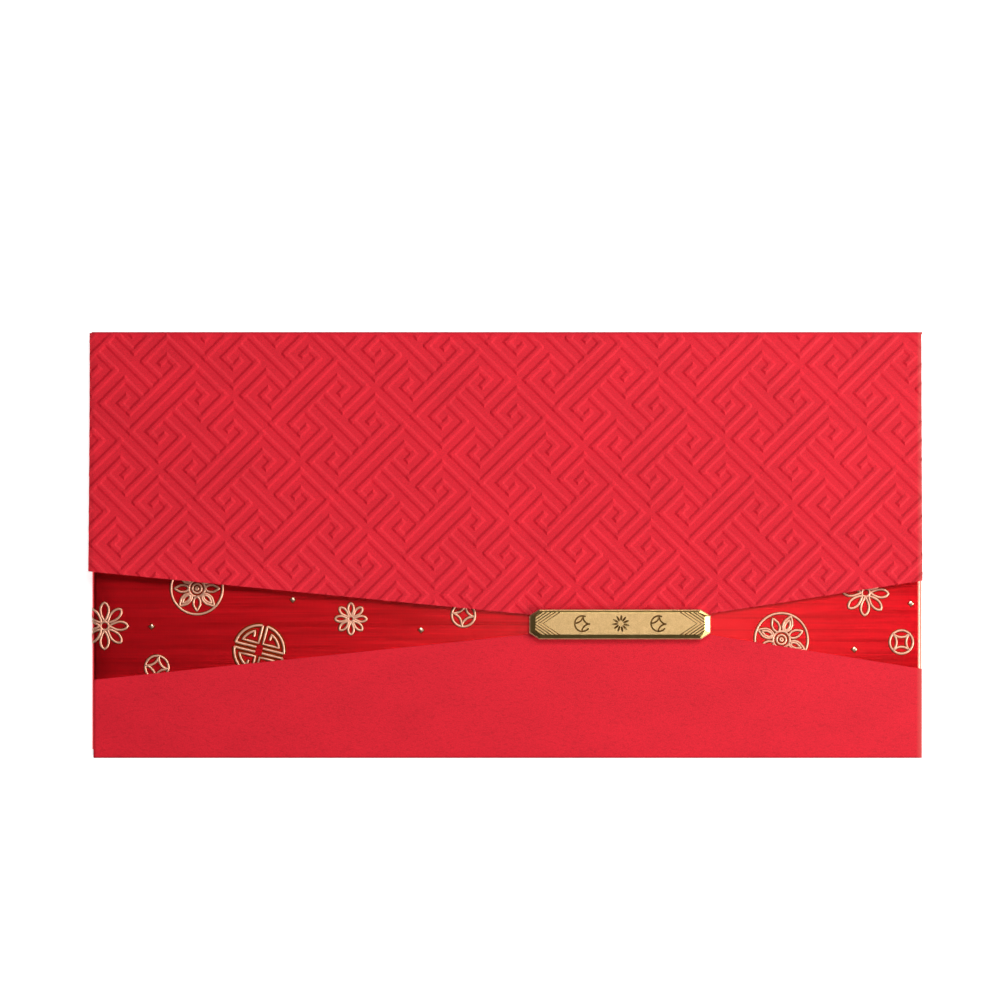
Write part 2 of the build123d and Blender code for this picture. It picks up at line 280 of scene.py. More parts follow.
def satin_red():
    """Red satin paper with threads along X."""
    material, tree, shader, place = start_finish("satin_red_paper", Metallic=1.0, Coat_Weight=0.45,
                                                 Coat_Roughness=0.25)
    threads = noise(tree, place, (0.05, 5.2, 5.2), detail=3.0, roughness=0.7)
    weave = vector_math(tree, "ADD", place, WEAVE_SHIFT)
    slubs = noise(tree, weave, (0.035, 0.8, 0.8), detail=2.0, roughness=0.5)
    bands = noise(tree, weave, (0.012, 0.32, 0.32), detail=1.0)
    cross = noise(tree, place, (4.6, 0.35, 0.35), detail=2.0)
    x = tree.node("ShaderNodeSeparateXYZ", {}, {0: place}).out("X")
    from_left = x - LEFT_X
    from_right = RIGHT_X - x
    # Painted highlight on the rolled fold at the right end, which faces the light.
    painted_highlight = limit((HIGHLIGHT_FOLD_WIDTH - from_right) * 3.3) * 0.75
    # Slubs and bands: the paper's own tone plus painted sheen, stronger away from the left end, where the
    # sheen falls.
    weave_and_sheen_streaks = ((slubs - 0.5) * 2.2 + (bands - 0.5) * 1.6) * (limit(from_left * 0.025) * 0.75 + 0.25)
    tone = (threads - 0.5) * 0.6 + weave_and_sheen_streaks + (cross - 0.5) * 0.25 + 0.62
    plain_tone_colour = blend_colours(tree, tone, SATIN_DARK, SATIN_LIGHT)
    colour = paint_highlight(tree, painted_highlight, plain_tone_colour, SATIN_FOLD_HIGHLIGHT)
    feed(tree, shader, Base_Color=colour, Roughness=threads * 0.1 + 0.32)
    feed(tree, shader, Normal=bump(tree, threads + cross * 0.1, 0.035))
    return material


satin = satin_red()
print("satin finish:", satin.name)

# %% [markdown]
# Two kinds of gold are needed. The foil is thin and bright, with a rosy tint and small breaks in its
# gloss, and its lacquer gives it a matt share. The small stars are struck harder and shine more. Beside
# the foil, the satin gets a dark red-brown that is painted shade: the shade of the pressed groove along the
# raised foil. The plate is solid: a sand-blasted face, polished bevels, a duller rim, and engraved lines
# whose dark colour is painted shade.

# %% Gold finishes
def gold(name, dark, light, gloss, spread, grain_size, grain_depth, metal=1.0):
    """Metal with a fine grain: its two tones, its roughness and how far that roughness varies."""
    material, tree, shader, place = start_finish(name, Metallic=metal)
    grain = noise(tree, place, (grain_size,) * 3, detail=2.0, roughness=0.65)
    wear = noise(tree, place, (0.9, 0.9, 0.9), detail=2.0)
    tone = (grain - 0.5) * 1.2 + (wear - 0.5) * 0.5 + 0.5
    feed(tree, shader, Base_Color=blend_colours(tree, tone, dark, light))
    feed(tree, shader, Roughness=wear * spread + gloss, Normal=bump(tree, grain, grain_depth))
    return material


foil_gold = gold("foil_gold", (0.78, 0.36, 0.24), (0.98, 0.54, 0.37), 0.34, 0.14, 3.0, 0.008, 0.6)
star_gold = gold("star_foil", (0.88, 0.52, 0.36), (1.00, 0.68, 0.50), 0.26, 0.08, 3.0, 0.004)
face_gold = gold("sandblasted_gold", (0.66, 0.40, 0.16), (1.00, 0.70, 0.34), 0.38, 0.10, 5.0, 0.02)
bevel_gold = gold("polished_gold", (0.74, 0.50, 0.15), (0.84, 0.60, 0.22), 0.26, 0.08, 2.0, 0.002)
rim_gold = gold("brushed_gold", (0.44, 0.19, 0.11), (0.58, 0.27, 0.16), 0.42, 0.10, 4.0, 0.004)
# A dark gold that is painted shade in the engraved lines.
engraving_shade_gold = gold("engraving_painted_shade", (0.22, 0.12, 0.04), (0.36, 0.20, 0.07), 0.45, 0.10, 5.0, 0.004)
# A dark red-brown satin that is painted shade beside the raised foil lines.
painted_shade_satin = gold("painted_shade_satin", (0.20, 0.020, 0.003), (0.32, 0.034, 0.005), 0.42, 0.10, 3.0, 0.004)
GOLDS = (foil_gold, star_gold, face_gold, bevel_gold, rim_gold, engraving_shade_gold, painted_shade_satin)
print("gold finishes:", ", ".join(finish.name for finish in GOLDS))

# %% [markdown]
# Glue and tape are hidden between the sheets, and show only at an edge or when the flap is open. They
# get a quiet finish of their own: a dried film with small bubbles, and a fibrous tape.

# %% Glue and tape finishes
def dull_film(name, dark, light, sheen, grain):
    """A pale film with a soft grain."""
    material, tree, shader, place = start_finish(name)
    spots = noise(tree, place, (grain,) * 3, detail=3.0, roughness=0.6)
    feed(tree, shader, Base_Color=blend_colours(tree, spots, dark, light))
    feed(tree, shader, Roughness=spots * 0.2 + sheen, Normal=bump(tree, spots, 0.01))
    return material


dried_glue = dull_film("dried_glue", (0.62, 0.54, 0.42), (0.80, 0.74, 0.62), 0.30, 1.6)
paper_tape = dull_film("paper_tape", (0.72, 0.66, 0.54), (0.88, 0.84, 0.74), 0.55, 4.0)
print("film finishes:", dried_glue.name, paper_tape.name)

# %% [markdown]
# Each new piece goes through the same few steps: a mesh is made in millimetres, modifiers finish it and
# are then turned into plain mesh, sharp corners are marked by their angle, and the piece is set on its
# body in the place of the nodes it stands for.

# %% Piece helpers
def new_object(name, points, faces, edges=()):
    """An object at the origin whose mesh has its points in millimetres."""
    mesh = bpy.data.meshes.new(name)
    mesh.from_pydata([Vector(p) * MM for p in points], edges, faces)
    made = bpy.data.objects.new(name, mesh)
    bpy.context.scene.collection.objects.link(made)
    return made


def make_plain(piece):
    """Turn a piece with its modifiers into plain mesh."""
    graph = bpy.context.evaluated_depsgraph_get()
    mesh = bpy.data.meshes.new_from_object(piece.evaluated_get(graph))
    old = piece.data
    piece.modifiers.clear()
    piece.data = mesh
    bpy.data.meshes.remove(old)
    mesh.name = piece.name


@contextmanager
def editing(piece):
    """A piece's mesh opened for editing, and written back at the end."""
    work = bmesh.new()
    work.from_mesh(piece.data)
    yield work
    work.to_mesh(piece.data)
    work.free()


def solidify(piece, thickness):
    """Give a sheet its thickness, inwards from the side that its faces look to."""
    wall = piece.modifiers.new("thickness", "SOLIDIFY")
    wall.thickness = thickness * MM
    wall.offset = -1.0
    wall.use_even_offset = True
    make_plain(piece)


def soften(piece, angle):
    """Shade smooth, with every edge sharper than an angle kept sharp."""
    piece.data.shade_smooth()
    piece.data.set_sharp_from_angle(angle=math.radians(angle))


def reshape(piece, rule):
    """Move every point of a piece by a rule that takes and returns millimetres."""
    for vertex in piece.data.vertices:
        vertex.co = Vector(rule(*(vertex.co / MM))) * MM
    piece.data.update()


def seat(piece, body, slot, *nodes):
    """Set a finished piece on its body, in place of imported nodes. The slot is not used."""
    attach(piece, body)
    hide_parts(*nodes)
    size = [round(value / MM, 2) for value in piece.dimensions]
    print(piece.name, "on", body, "size", size, "faces", len(piece.data.polygons))


print("piece helpers ready")

# %% [markdown]
# Paper is cut with straight cuts and bent in round folds. A few more helpers give those: a cut along a
# plane, with an upright plane through two points of the face as the usual one, evenly spaced numbers, and
# points on an arc.

# %% Cutting and folding helpers
def trim(piece, cuts, keep=lambda centre: True):
    """Cut a mesh along planes. A cut is a point in millimetres and the direction that falls away."""
    with editing(piece) as work:
        for point, outward in cuts:
            faces = [face for face in work.faces if keep(face.calc_center_median() / MM)]
            edges = {edge for face in faces for edge in face.edges}
            points = {vertex for face in faces for vertex in face.verts}
            cut = [*points, *edges, *faces]
            where = {"plane_co": Vector(point) * MM, "plane_no": Vector(outward)}
            bmesh.ops.bisect_plane(work, geom=cut, dist=1e-8, clear_outer=True, **where)


def upright_cut(start, end):
    """A cut through two points of the face that drops what lies to the right of the way between them."""
    along = Vector((end[0] - start[0], end[1] - start[1], 0.0)).normalized()
    return (start[0], start[1], 0.0), (along.y, -along.x, 0.0)


def span(start, end, count):
    """Evenly spaced numbers from start to end."""
    return [start + (end - start) * step / count for step in range(count + 1)]


def arc(centre, radius, start, end, count):
    """Points on an arc, with angles in degrees."""
    turns = [math.radians(angle) for angle in span(start, end, count)]
    return [(centre[0] + radius * math.cos(t), centre[1] + radius * math.sin(t)) for t in turns]


print("cutting and folding helpers ready")

# %% [markdown]
# The back, the bottom spine and the lower front panel are one folded card, so they are made as one sheet:
# its outer line in the Y-Z plane, with round folds, is swept along the width, and the front is then cut
# to the low gable whose peak lies under the plate. A Solidify gives the sheet its thickness inwards.

# %% Folded cover
FOLD_RADIUS = 0.4
FOLD_STEPS = 6
LEFT_TRIM = 0.26


def sweep(points, stations, along_x):
    """A sheet from a line of (place, height) points and its stations along the other axis."""
    rows = len(stations)
    flat = [(s, p, z) if along_x else (p, s, z) for p, z in points for s in stations]
    faces = []
    for i in range(len(points) - 1):
        for j in range(rows - 1):
            corner = i * rows + j
            face = (corner, corner + 1, corner + rows + 1, corner + rows)
            faces.append(face if along_x else face[::-1])
    return flat, faces


front_fold_z = PANEL_TOP_Z - FOLD_RADIUS
line = [(y, 0.0) for y in span(CREASE_Y, FOOT_Y + FOLD_RADIUS, 24)]
line += arc((FOOT_Y + FOLD_RADIUS, FOLD_RADIUS), FOLD_RADIUS, 270, 180, FOLD_STEPS)[1:]
line += arc((FOOT_Y + FOLD_RADIUS, front_fold_z), FOLD_RADIUS, 180, 90, FOLD_STEPS)
line += [(y, PANEL_TOP_Z) for y in span(FOOT_Y + FOLD_RADIUS, PANEL_PEAK_Y, 16)[1:]]
cover = new_object("folded_cover", *sweep(line, span(LEFT_X + LEFT_TRIM, RIGHT_X, 60), True))
gable = [corner for corner in corners_mm("lower_front_panel") if corner[1] > FOOT_Y + 2 * CARD]
gable_right, gable_peak, gable_left = gable
trim(cover, [upright_cut(gable_right, gable_peak), upright_cut(gable_peak, gable_left)],
     lambda centre: centre.z > PANEL_TOP_Z - WELD and centre.y > FOOT_Y + FOLD_RADIUS)
solidify(cover, CARD)
soften(cover, 40)
cover.data.materials.append(felt_red)
seat(cover, "pocket", "red_card", "back_panel", "bottom_spine", "lower_front_panel")

# %% [markdown]
# The satin pocket is one folded sheet too. The front rolls over at both sides in a half turn and runs
# back as a glued tab, and the bottom does the same. Each roll is a sweep, and the sheets share a row of
# points at the bottom, so they merge into one.

# %% Satin pocket
ROLL = (SATIN_TOP_Z - TAB_Z) / 2
BULGE = 0.23
ROLL_X = POCKET_X + BULGE - ROLL
ROLL_Y = POCKET_FOOT_Y + ROLL
ROLL_Z = TAB_Z + ROLL
ROLL_STEPS = 12
TAB_INNER_X = box_mm("pocket_right_tab")[0][0]
(BOTTOM_TAB_X, _, _), (_, BOTTOM_TAB_Y, _) = box_mm("pocket_bottom_tab")

right_roll = arc((ROLL_X, ROLL_Z), ROLL, 90, -90, ROLL_STEPS)
left_roll = [(-x, z) for x, z in reversed(right_roll)]
front_columns = span(-ROLL_X, ROLL_X, 44)
across = [(-TAB_INNER_X, TAB_Z)] + left_roll + [(x, SATIN_TOP_Z) for x in front_columns[1:-1]]
across += right_roll + [(TAB_INNER_X, TAB_Z)]
front_points, front_faces = sweep(across, span(ROLL_Y, POCKET_TOP_Y, 40), False)
foot_roll = arc((ROLL_Y, ROLL_Z), ROLL, 270, 90, ROLL_STEPS)
foot_points, foot_faces = sweep(foot_roll, front_columns, True)
tab_line = [(y, TAB_Z) for y in span(BOTTOM_TAB_Y, ROLL_Y, 4)]
tab_columns = [x for x in front_columns if abs(x) < -BOTTOM_TAB_X]
tab_points, tab_faces = sweep(tab_line, tab_columns, True)


def shifted(faces, start):
    """Faces with their point numbers raised."""
    return [tuple(number + start for number in face) for face in faces]


pocket_faces = front_faces + shifted(foot_faces, len(front_points))
pocket_faces += shifted(tab_faces, len(front_points) + len(foot_points))
pocket = new_object("satin_pocket", front_points + foot_points + tab_points, pocket_faces)
with editing(pocket) as work:
    bmesh.ops.remove_doubles(work, verts=work.verts, dist=WELD * MM)
solidify(pocket, SATIN)
soften(pocket, 50)
pocket.data.materials.append(satin)
POCKET_FOLDS = ["pocket_left_fold", "pocket_right_fold", "pocket_bottom_fold"]
POCKET_TABS = ["pocket_left_tab", "pocket_right_tab", "pocket_bottom_tab"]
seat(pocket, "pocket", "satin_paper", "pocket_front", *POCKET_FOLDS, *POCKET_TABS)

# %% [markdown]
# The flap carries a raised fret, pressed into the card. The fret is a lattice: one cell, mirrored about
# both its middles, repeats along two slanted directions. Within a quarter of the cell the ribs are three
# short paths on a grid of squares. The die pressed the ribs of one slant less deep. The cell is a mesh
# whose lines lie exactly on the edges of the ribs, and the height at each crossing follows from its
# distance to the paths.

# %% Fret cell
CELL_T = 8
CELL_S = 7
STEP_T = (-0.9659, -0.9609)
STEP_S = (0.9870, -0.9840)
FRET_START = (-85.51, 29.46)
FRET_PATHS = [
    [(1, 7), (1, 1), (6, 1), (6, 5)],
    [(8, 0), (8, 5), (3, 5), (3, 3), (4.3, 3)],
    [(1, 7), (8, 7)],
]
RIB_TOP = 0.2
RIB_FOOT = 0.55
LOW_RIB = 0.58
EMBOSS = 0.19


def rib_height(t, s):
    """Height from 0 to 1 at a point of the cell: 1 on a full rib, 0 on the ground."""
    height = 0.0
    for path in FRET_PATHS:
        for (t0, s0), (t1, s1) in zip(path, path[1:]):
            beside_t = max(min(t0, t1) - abs(t), abs(t) - max(t0, t1), 0.0)
            beside_s = max(min(s0, s1) - abs(s), abs(s) - max(s0, s1), 0.0)
            rise = min(1.0, (RIB_FOOT - max(beside_t, beside_s)) / (RIB_FOOT - RIB_TOP))
            height = max(height, rise if s0 == s1 else rise * LOW_RIB)
    return height


def rib_lines(places, ends, half):
    """Grid lines at both edges and both feet of each rib, mirrored about the middle of the cell."""
    sides = (-RIB_FOOT, -RIB_TOP, RIB_TOP, RIB_FOOT)
    lines = {0.0, float(half)}
    lines |= {place + side for place in places for side in sides}
    lines |= {end + side for end in ends for side in (RIB_TOP, RIB_FOOT)}
    kept = {round(value, 4) for value in lines if 0 <= value <= half}
    return sorted(kept | {-value for value in kept})


lines_t = rib_lines((1, 3, 6, 8), (4.3,), CELL_T)
lines_s = rib_lines((1, 3, 5, 7), (), CELL_S)
heights = [[rib_height(t, s) for s in lines_s] for t in lines_t]
cell_points = []
for t, row in zip(lines_t, heights):
    for s, height in zip(lines_s, row):
        x = STEP_T[0] * t + STEP_S[0] * s
        y = STEP_T[1] * t + STEP_S[1] * s
        cell_points.append((x, y, EMBOSS * height))
cell_faces = []
width = len(lines_s)
for i in range(len(lines_t) - 1):
    for j in range(width - 1):
        a, b, c, d = i * width + j, (i + 1) * width + j, (i + 1) * width + j + 1, i * width + j + 1
        ring = [cell_points[k][2] for k in (a, b, c, d)]
        if ring[0] + ring[2] != ring[1] + ring[3]:
            slanted = ring[0] != ring[2]
            cell_faces += [(a, b, c), (a, c, d)] if slanted else [(a, b, d), (b, c, d)]
        else:
            cell_faces.append((a, b, c, d))
cell = new_object("embossed_flap", cell_points, cell_faces)
print("fret cell:", len(cell_points), "points,", len(cell_faces), "faces")

# %% [markdown]
# Geometry Nodes lay the cell over the flap. A grid of points is slanted by the two steps of the lattice,
# points far from the flap are left out, a cell stands on each of the others, and merging the shared edges
# gives one continuous sheet.

# %% Fret lattice
def node_group(name, inputs):
    """A Geometry Nodes tree with named inputs. Returns the group, its Tree and its input wire."""
    group = bpy.data.node_groups.new(name, "GeometryNodeTree")
    face = group.interface
    face.new_socket("Geometry", in_out="OUTPUT", socket_type="NodeSocketGeometry")
    face.new_socket("Geometry", in_out="INPUT", socket_type="NodeSocketGeometry")
    for label, kind in inputs.items():
        face.new_socket(label, in_out="INPUT", socket_type="NodeSocket" + kind)
    tree = Tree(group)
    return group, tree, tree.node("NodeGroupInput")


def close_group(tree, geometry, material):
    """End a tree in Realize Instances and Set Material."""
    real = tree.node("GeometryNodeRealizeInstances", {}, {"Geometry": geometry})
    dressed = tree.node("GeometryNodeSetMaterial", {}, {"Geometry": real, "Material": material})
    tree.node("NodeGroupOutput", {}, {"Geometry": dressed})


def run_group(piece, group, values):
    """Put a tree on a piece, set its inputs, and make the result plain mesh."""
    modifier = piece.modifiers.new(group.name, "NODES")
    modifier.node_group = group
    for item in group.interface.items_tree:
        if item.in_out == "INPUT" and item.name in values:
            modifier[item.identifier] = values[item.name]
    make_plain(piece)


group, tree, given = node_group("fret_lattice", {
    "Columns": "Int", "Rows": "Int", "Step along": "Vector", "Step across": "Vector",
    "Start": "Vector", "Middle": "Vector", "Reach X": "Float", "Reach Y": "Float", "Material": "Material",
})
size_x = given.out("Columns") - 1.0
size_y = given.out("Rows") - 1.0
grid = tree.node("GeometryNodeMeshGrid", {}, {
    "Size X": size_x, "Size Y": size_y,
    "Vertices X": given.out("Columns"), "Vertices Y": given.out("Rows"),
})
number = tree.node("ShaderNodeSeparateXYZ", {}, {0: tree.node("GeometryNodeInputPosition")})
along = vector_math(tree, "SCALE", given.out("Step along"), number.out("X"))
across_step = vector_math(tree, "SCALE", given.out("Step across"), number.out("Y"))
place = vector_math(tree, "ADD", vector_math(tree, "ADD", along, across_step), given.out("Start"))
slanted_grid = tree.node("GeometryNodeSetPosition", {}, {"Geometry": grid, "Position": place})
away = vector_math(tree, "SUBTRACT", tree.node("GeometryNodeInputPosition"), given.out("Middle"))
away = tree.node("ShaderNodeSeparateXYZ", {}, {0: away})
near = (abs(away.out("X")) < given.out("Reach X")) * (abs(away.out("Y")) < given.out("Reach Y"))
cells = tree.node("GeometryNodeInstanceOnPoints", {}, {
    "Points": slanted_grid, "Selection": near, "Instance": given.out("Geometry"),
})
joined = tree.node("GeometryNodeRealizeInstances", {}, {"Geometry": cells})
joined = tree.node("GeometryNodeMergeByDistance", {}, {"Geometry": joined, "Distance": WELD * MM})
close_group(tree, joined, given.out("Material"))
print("lattice tree:", len(group.nodes), "nodes")

# %% [markdown]
# The lattice has a fixed point on the real flap. Whole steps from there lead to the cell nearest to the
# middle of the flap, and the grid is centred on that cell.

# %% Fret over the flap
LATTICE_SIDE = 13
REACH_X = RIGHT_X + 16
REACH_Y = 47
step_t = Vector((*STEP_T, 0.0)) * 2 * CELL_T
step_s = Vector((*STEP_S, 0.0)) * 2 * CELL_S
fret_start = Vector((*FRET_START, 0.0))
flap_middle = Vector(((LEFT_X + RIGHT_X) / 2, (FLAP_TOP_Y + FLAP_TIP_Y) / 2, 0.0))
nearest_t = round((flap_middle - fret_start).dot(step_t) / step_t.length_squared)
nearest_s = round((flap_middle - fret_start).dot(step_s) / step_s.length_squared)
lattice_start = fret_start + nearest_t * step_t + nearest_s * step_s
run_group(cell, group, {
    "Columns": LATTICE_SIDE, "Rows": LATTICE_SIDE,
    "Step along": step_t * MM, "Step across": step_s * MM,
    "Start": lattice_start * MM, "Middle": flap_middle * MM,
    "Reach X": REACH_X * MM, "Reach Y": REACH_Y * MM, "Material": pressed_red,
})
flap = cell
print("fret lattice:", len(flap.data.vertices), "points")

# %% [markdown]
# The lattice is now cut to the outline of the flap, laid at its height and given the card's thickness.
# Solidify follows the relief, so the back of the flap shows the same fret sunk in, as pressed card does.
# The fret fades out at the crease. A used flap doesn't lie quite flat: the free edge stands up a little
# towards its corners, most at the left, and its fold is a shade out of square.

# %% Embossed flap
LIFT_LEFT = 2.8
LIFT_RIGHT = 0.6
LEFT_CURVE = 0.8
RIGHT_CURVE = 1.5
EDGE_CURVE = 1.6
SLIP = 0.3
SLIP_EASE = 0.4
STRETCH = 1.0015
FADE = 0.8
outline = corners_mm("flap")
low_corners = [corner for corner in outline if corner[1] < FLAP_TOP_Y - 1]
left_corner, tip, right_corner = sorted(low_corners)
flap_path = [(LEFT_X, CREASE_Y), left_corner, tip, right_corner, (RIGHT_X, CREASE_Y)]
PLATE_LEFT_X, PLATE_RIGHT_X = (corner[0] for corner in box_mm("clasp_plate"))


def free_edge_y(x):
    """Height of the flap's free edge across the face."""
    end = left_corner if x < tip[0] else right_corner
    return tip[1] + (end[1] - tip[1]) * (x - tip[0]) / (end[0] - tip[0])


def lay_flap(x, y, z):
    """Where a point of the flat flap ends up."""
    share = min(1.0, max(0.0, (CREASE_Y - y) / (CREASE_Y - free_edge_y(x))))
    left = max(0.0, (PLATE_LEFT_X - x) / (PLATE_LEFT_X - LEFT_X))
    right = max(0.0, (x - PLATE_RIGHT_X) / (RIGHT_X - PLATE_RIGHT_X))
    lift = share**EDGE_CURVE * (LIFT_LEFT * left**LEFT_CURVE + LIFT_RIGHT * right**RIGHT_CURVE)
    return x * STRETCH - SLIP * (1 - SLIP_EASE * share), y, z + lift


def fade_fret(x, y, z):
    """Raise the flap to its height, with its fret flush at the crease."""
    fade = min(1.0, (CREASE_Y - y) / FADE)
    return x, y, FLAP_TOP_Z - (EMBOSS - z) * fade


trim(flap, [upright_cut(start, end) for start, end in zip(flap_path, flap_path[1:])])
trim(flap, [((0.0, CREASE_Y, 0.0), (0.0, 1.0, 0.0))])
reshape(flap, fade_fret)
if flap.data.polygons[0].normal.z < 0:
    flap.data.flip_normals()
solidify(flap, CARD)
reshape(flap, lambda x, y, z: (x, min(y, FLAP_TOP_Y) if z < FLAP_Z + CARD / 2 else y, z))
reshape(flap, lay_flap)
soften(flap, 8)
seat(flap, "flap", "embossed_card", "flap")

# %% [markdown]
# A second tree turns drawn lines into raised or sunk ones. It reads the loose edges of a mesh as curves,
# stands an oval profile upright along them and closes the ends. With a round profile, half above the
# paper, it makes the stamped foil. With a diamond profile it makes the cutter for the engraving.

# %% Drawn lines
group, tree, given = node_group("drawn_line", {
    "Line width": "Float", "Line height": "Float", "Profile points": "Int", "Material": "Material",
})
curves = tree.node("GeometryNodeMeshToCurve", {}, {"Mesh": given.out("Geometry")})
upright = tree.node("GeometryNodeSetCurveNormal", {"mode": "Z_UP"}, {"Curve": curves})
profile = tree.node("GeometryNodeCurvePrimitiveCircle", {"mode": "RADIUS"},
                    {"Resolution": given.out("Profile points"), "Radius": 1.0})
oval = tree.node("ShaderNodeCombineXYZ", {}, {
    "X": given.out("Line width") * 0.5, "Y": given.out("Line height"), "Z": 1.0,
})
profile = tree.node("GeometryNodeTransform", {}, {"Geometry": profile, "Scale": oval})
lines = tree.node("GeometryNodeCurveToMesh", {}, {
    "Curve": upright, "Profile Curve": profile, "Fill Caps": True,
})
close_group(tree, lines, given.out("Material"))
line_group = group


def draw_lines(name, lines, line_width, line_height, material, height=0.0, profile_points=10):
    """An object of swept lines. A line is a list of (x, y) points and whether it is closed."""
    points = []
    edges = []
    for line_points, closed in lines:
        start = len(points)
        points += [(x, y, height) for x, y in line_points]
        edges += [(k, k + 1) for k in range(start, len(points) - 1)]
        if closed:
            edges.append((len(points) - 1, start))
    drawn = new_object(name, points, [], edges)
    run_group(drawn, line_group, {
        "Line width": line_width * MM, "Line height": line_height * MM,
        "Profile points": profile_points, "Material": material,
    })
    return drawn


print("line tree ready")

# %% [markdown]
# The foil print has four motifs and small stars between them. Each motif is a short function that draws
# it about its own centre, in shares of its radius: a daisy of looped petals, a lotus in a ring, a fret in
# a ring, and a coin with a square hole.

# %% Foil motifs
def ring(radius, count=56):
    """A closed circle."""
    return arc((0.0, 0.0), radius, 0, 360 - 360 / count, count - 1), True


def leaf(inner, outer, half_width, shape, turn, count=14):
    """A closed petal outline along a direction. The shape gives its share of width along its length."""
    edge = [(inner + (outer - inner) * f, half_width * shape(f)) for f in span(0.0, 1.0, count)]
    loop = edge + [(x, -y) for x, y in reversed(edge[1:-1])]
    return [turned(point, turn) for point in loop], True


def turned(point, degrees):
    """A point turned about the centre."""
    c, s = math.cos(math.radians(degrees)), math.sin(math.radians(degrees))
    return point[0] * c - point[1] * s, point[0] * s + point[1] * c


def looped(f):
    """Outline of a daisy petal: narrow at the heart, round at the tip."""
    return max(0.0, math.sin(math.pi * f**1.31)) ** 0.6


def pointed(f):
    """Outline of a lotus petal: near-parallel sides and a point."""
    return min(1.0, (1 - f) / 0.42) ** 0.8 * min(1.0, f / 0.3) ** 0.5


def daisy(radius):
    """Eight looped petals round a small ring."""
    petals = [leaf(0.2 * radius, 0.955 * radius, 0.17 * radius, looped, 45 * k) for k in range(8)]
    return petals + [ring(0.17 * radius, 20)]


def lotus(radius):
    """A ring, four open petals, four veined petals and a ringed heart."""
    inner = 0.3 * radius
    lines = [ring(0.955 * radius, 72), ring(inner, 32), ring(0.17 * radius, 20), ring(0.05 * radius, 8)]
    for quarter in range(0, 360, 90):
        lines.append(leaf(inner, 0.82 * radius, 0.125 * radius, pointed, quarter))
        lines.append(leaf(inner, 0.9 * radius, 0.155 * radius, pointed, quarter + 45))
        lines.append(leaf(0.36 * radius, 0.76 * radius, 0.085 * radius, pointed, quarter + 45))
    return lines


def fret(radius):
    """Four mirrored quarters of a ring, each with a bar and a squared hook."""
    arm = math.degrees(math.asin(0.093 / 0.947))
    quarter = [
        arc((0, 0), 0.947, arm, 90 - arm, 16),
        [(0.13, 0.093), (0.53, 0.093), (0.94, 0.093)],
        [(0.085, 0.94), (0.085, 0.6), (0.085, 0.26), (0.4, 0.26), (0.71, 0.26)]
        + arc((0, 0), 0.755, 20.1, 64.5, 8)[1:] + [(0.315, 0.58), (0.31, 0.46)],
    ]
    lines = []
    for flip_x in (1, -1):
        for flip_y in (1, -1):
            lines += [([(x * flip_x * radius, y * flip_y * radius) for x, y in part], False)
                      for part in quarter]
    return lines


def coin(radius):
    """A ring and a square hole with hollow sides."""
    line_radius = 0.9 * radius
    lines = [ring(line_radius, 40)]
    for quarter in range(0, 360, 90):
        side = arc((line_radius, line_radius), line_radius, 180, 270, 10)
        lines.append(([turned(point, quarter) for point in side], False))
    return lines


print("motifs:", ", ".join(f"{len(m(1.0))} lines in a {m.__name__}" for m in (daisy, lotus, fret, coin)))

# %% [markdown]
# One row of the print shows between the flap and the panel, and the same row runs on under the flap,
# turned left for right each time. A motif of the row is listed by its side of the face, its distances from
# that side and from the foot, its radius and its turn. Each kind also has the width of its line and of the
# painted shade beside it.

# %% Layout of the print
FOIL_ROWS = 3
ROW_PITCH = 25.05
PRINT = {
    "gold_daisies": ("foil_daisies", daisy, 0.46, 0.24, [
        ("left", 2.5, 27.4, 5.05, 0),
        ("left", 53.6, 28.85, 3.42, 0),
        ("right", 11.6, 34.3, 4.95, -3),
    ]),
    "gold_lotus_roundels": ("foil_lotus_roundels", lotus, 0.45, 0.24, [
        ("left", 21.65, 35.15, 5.6, 0),
        ("right", 29.1, 24.55, 5.75, 22),
    ]),
    "gold_fret_roundels": ("foil_fret_roundels", fret, 0.48, 0.52, [
        ("left", 34.55, 22.35, 5.45, -14),
    ]),
    "gold_coins": ("foil_coins", coin, 0.46, 0.24, [
        ("left", 13.35, 18.8, 2.68, -10),
        ("left", 76.95, 29.65, 2.68, -10),
        ("right", 4.2, 24.05, 2.68, 45),
    ]),
}
STARS = [
    ("left", 12.25, 27.25),
    ("left", 41.55, 32.8),
    ("left", 68.15, 26.5),
    ("right", 2.2, 32.0),
    ("right", 13.95, 22.5),
]


def print_place(side, inset, up, row):
    """Place of a motif, and 1 or -1 for a row that is turned left for right."""
    flip = -1 if row % 2 else 1
    x = RIGHT_X - inset if side == "right" else LEFT_X + inset
    return flip * x, FOOT_Y + up + row * ROW_PITCH, flip


print("print:", FOIL_ROWS, "rows of", sum(len(kind[-1]) for kind in PRINT.values()), "motifs and",
      len(STARS), "stars")

# %% [markdown]
# The lines are swept flat, once for the foil and once wider and lower for the painted shade beside it.
# Both are cut at the mouth of the pocket and then bent over the rolled edge of the satin, because the print
# goes round the fold.

# %% Foil print
FOIL_WRAP = 105
FOIL_EDGE = ROLL_X + math.radians(FOIL_WRAP) * ROLL
MOUTH_MARGIN = 0.3
FOIL_HEIGHT = 0.13
SHADE_BORDER_HEIGHT = 0.03


def lay_on_satin(x, y, height):
    """A point of the flat print laid on the satin, round its rolled edges too."""
    over = abs(x) - ROLL_X
    if over <= 0:
        return x, y, SATIN_TOP_Z + height
    turn = over / ROLL
    reach = ROLL + height
    return math.copysign(ROLL_X + reach * math.sin(turn), x), y, ROLL_Z + reach * math.cos(turn)


